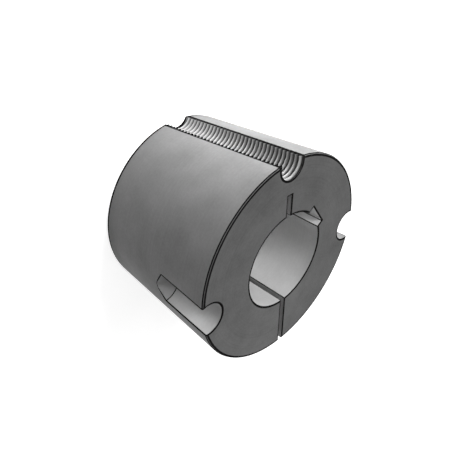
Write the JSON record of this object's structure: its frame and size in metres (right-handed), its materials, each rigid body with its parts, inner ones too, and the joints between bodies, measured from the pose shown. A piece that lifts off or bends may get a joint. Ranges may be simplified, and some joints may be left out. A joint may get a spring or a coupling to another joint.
{
  "type": "taper bush",
  "caption": "Split taper bush with a keyed bore, a threaded jacking half-hole and plain half-holes for its clamping screws.",
  "frame": {"origin": "centre of the bore at the small end, which the bush stands on", "axes": "+Z along the bore from the small end to the large end, -Y towards the threaded jacking half-hole, +Y towards the split"},
  "size_m": [0.1078, 0.1075, 0.0762],
  "materials": {
    "bush": "turned and phosphated, ground on the taper"
  },
  "bodies": {
    "root": {"bush": "bush"}
  },
  "joints": []
}
